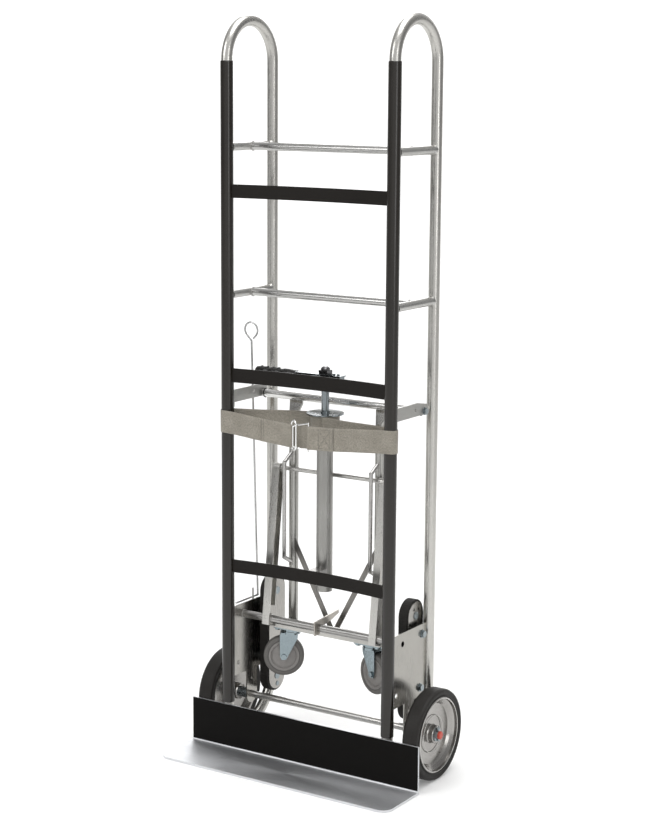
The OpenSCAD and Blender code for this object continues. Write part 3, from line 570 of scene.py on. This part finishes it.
def loop_points(step):
    """Points and outward normals round the crawler belt's outside, in the Y Z plane, mm."""
    pts = []
    half = int(math.pi * CRAWL_R / step)
    run = int((CRAWL_TOP - CRAWL_LOW) / step)
    for cz, start, sign in ((CRAWL_TOP, 0.0, 1), (CRAWL_LOW, math.pi, -1)):
        for i in range(half):
            a = start + math.pi * i / half
            c = math.cos(a)
            s = math.sin(a)
            pts.append((CRAWL_Y + CRAWL_R * c, cz + CRAWL_R * s, c, s))
        for i in range(run):
            z = cz - sign * (CRAWL_TOP - CRAWL_LOW) * i / run
            pts.append((CRAWL_Y - sign * CRAWL_R, z, -sign, 0.0))
    return pts


def ribs(name, side):
    verts, faces = [], []
    for y, z, ny, nz in loop_points(5.2):
        ty, tz = -nz, ny
        base = len(verts)
        profile = ((-1.5, -0.5), (-1.2, 0.75), (1.2, 0.75), (1.5, -0.5))
        for x in BELT_X:
            for t, h in profile:
                verts.append(P(side * x, y + ty * t + ny * h, z + tz * t + nz * h))
        for j in range(4):
            faces.append((base + j, base + (j + 1) % 4, base + 4 + (j + 1) % 4, base + 4 + j))
        faces.append(tuple(base + j for j in range(4)))
        faces.append(tuple(base + 7 - j for j in range(4)))
    return make(name, verts, faces, m_belt, "frame", False)


ribs("belt_ribs_left", -1)
ribs("belt_ribs_right", 1)


# ---- welds ----

def ring_beads(centre, axis, radius, bead, count):
    """Weld ripples round a joint, each a little different."""
    axis = Vector(axis).normalized()
    u = axis.orthogonal().normalized()
    v = axis.cross(u)
    out = []
    for i in range(count):
        a = 2 * math.pi * i / count
        d = u * math.cos(a) + v * math.sin(a)
        k = bead * (0.9 + 0.25 * rng.random())
        out.append((centre + d * radius * MM, k, Matrix.Identity(3)))
    return out


frame_welds = []
for z in STUB_HEIGHTS:
    for s in (-1, 1):
        frame_welds += ring_beads(P(s * (RAIL_X - 9.3), STUB_Y, z), (1, 0, 0), TUBE_R - 0.1, 1.7, 22)
leg_welds = []
for s in (-1, 1):
    leg_welds += ring_beads(P(s * POST_X, 120, WEB_Z1), (0, 0, 1), 11.2, 1.6, 24)
for s in (-1, 1):
    frame_welds += ring_beads(P(s * 212.4, PIVOT_Y, PIVOT_Z), (1, 0, 0), 9.3, 1.3, 22)

# short upright welds where the rod guides meet the posts
for s in (-1, 1):
    for z in (690, 433):
        for k in range(8):
            x = s * POST_X + (4.2 if k % 2 else -4.2)
            leg_welds.append((P(x, 109.3 + 0.4 * (k % 2), z - 7 + 2 * k), 1.7, Matrix.Identity(3)))
beads("frame_weld_beads", frame_welds, m_weld)
beads("leg_weld_beads", leg_welds, m_weld, "leg")

# ---- stage ----

floor_graph = Graph("floor")
grain = floor_graph.noise(3.0, (1, 1, 1), 2.0)
pale = floor_graph.mix(floor_graph.span(grain, 0, 1), rgb(0.86, 0.86, 0.855), rgb(0.875, 0.875, 0.87))
floor_mat = floor_graph.shade(Base_Color=pale, Roughness=0.75)
floor_bsdf = floor_mat.node_tree.nodes["Principled BSDF"]
floor_bsdf.inputs["Specular IOR Level"].default_value = 0.2
# the floor and wall glow white, weakly near the camera and more strongly further back: a painted glow on the
# backdrop, no lamp
floor_bsdf.inputs["Emission Color"].default_value = (1, 1, 1, 1)
glow_depth = floor_graph.node("VectorMath", {0: floor_graph.coord.outputs["Object"], 1: (-0.543, 0.84, 0.0)}, 1,
                        operation="DOT_PRODUCT")
floor_graph.set(floor_bsdf.inputs["Emission Strength"], floor_graph.span(glow_depth, 0.14, 0.50, 2.0, 7.0))

# a floor that bends up into a wall far behind the object, square to the camera's direction; metres
FLOOR_NEAR = -9.0
FLOOR_FAR = 7.0
BEND = 2.0
WALL_TOP = 5.0
HALF_WIDTH = 11.0
BACKDROP_TURN = 32.9
profile = [(FLOOR_NEAR, 0.0), (FLOOR_FAR, 0.0)]
for degrees in range(10, 91, 10):
    bend = math.radians(degrees)
    profile.append((FLOOR_FAR + BEND * math.sin(bend), BEND - BEND * math.cos(bend)))
profile.append((FLOOR_FAR + BEND, WALL_TOP))
verts = []
faces = []
turn = Matrix.Rotation(math.radians(BACKDROP_TURN), 3, "Z")
for x in (-HALF_WIDTH, HALF_WIDTH):
    for y, z in profile:
        verts.append(turn @ Vector((x, y, z - 0.0005)))
n = len(profile)
for i in range(n - 1):
    faces.append((i, i + 1, n + i + 1, n + i))
cyc = make("cyclorama", verts, faces, floor_mat, None)


def area(name, place, target, size, watts, tone=(1, 1, 1)):
    data = bpy.data.lights.new(name, "AREA")
    data.shape = "RECTANGLE"
    data.size, data.size_y = size
    data.energy = watts
    data.color = tone
    ob = bpy.data.objects.new(name, data)
    bpy.context.scene.collection.objects.link(ob)
    ob.location = place
    ob.rotation_euler = (Vector(target) - Vector(place)).to_track_quat("-Z", "Y").to_euler()
    return ob


area("key", (-1.8, -3.9, 3.4), (0, 0, 0.8), (1.8, 2.6), 62)
area("fill", (3.9, -1.6, 2.0), (0, 0, 0.8), (1.0, 3.0), 26)
area("top", (0.3, 0.2, 4.2), (0, 0, 0.6), (3.0, 2.2), 70)
area("rim", (-1.6, 2.6, 2.6), (0, 0, 1.0), (1.0, 2.6), 22)

world = bpy.data.worlds.new("studio")
bpy.context.scene.world = world
world.use_nodes = True
wt = world.node_tree
wt.nodes.clear()
w_out = wt.nodes.new("ShaderNodeOutputWorld")
w_bg = wt.nodes.new("ShaderNodeBackground")
w_coord = wt.nodes.new("ShaderNodeTexCoord")
w_side = wt.nodes.new("ShaderNodeVectorMath")
w_side.operation = "DOT_PRODUCT"
w_side.inputs[1].default_value = (0.84, 0.543, 0.0)
w_abs = wt.nodes.new("ShaderNodeMath")
w_abs.operation = "ABSOLUTE"
w_ramp = wt.nodes.new("ShaderNodeValToRGB")
wt.links.new(w_coord.outputs["Generated"], w_side.inputs[0])
wt.links.new(w_side.outputs["Value"], w_abs.inputs[0])
wt.links.new(w_abs.outputs[0], w_ramp.inputs[0])
wt.links.new(w_ramp.outputs[0], w_bg.inputs[0])
wt.links.new(w_bg.outputs[0], w_out.inputs[0])
w_ramp.color_ramp.elements[0].position = 0.35
w_ramp.color_ramp.elements[0].color = (1, 1, 1, 1)
w_ramp.color_ramp.elements[1].position = 0.92
w_ramp.color_ramp.elements[1].color = (0.36, 0.36, 0.36, 1)
w_bg.inputs[1].default_value = 0.80

# ---- camera ----

CAM_YAW = -0.574251         # radians
CAM_PITCH = 0.175290
CAM_ROLL = 0.006824
CAM_PLACE = (2266.98, -3399.25, 1545.83)
LENS = 83.6808              # mm, over a 36 mm sensor
look = Vector((math.sin(CAM_YAW) * math.cos(CAM_PITCH), math.cos(CAM_YAW) * math.cos(CAM_PITCH),
               -math.sin(CAM_PITCH)))
level = Vector((math.cos(CAM_YAW), -math.sin(CAM_YAW), 0))
upright = level.cross(look)
right = math.cos(CAM_ROLL) * level + math.sin(CAM_ROLL) * upright
up = -math.sin(CAM_ROLL) * level + math.cos(CAM_ROLL) * upright
cam_data = bpy.data.cameras.new("camera")
cam_data.sensor_width = 36.0
cam_data.lens = LENS
cam = bpy.data.objects.new("camera", cam_data)
bpy.context.scene.collection.objects.link(cam)
rot = Matrix((right, up, -look)).transposed()
cam.matrix_world = Matrix.Translation(P(*CAM_PLACE)) @ rot.to_4x4()
bpy.context.scene.camera = cam
bpy.context.scene.view_settings.view_transform = "Standard"
bpy.context.scene.view_settings.look = "None"
bpy.context.scene.view_settings.exposure = 0.0
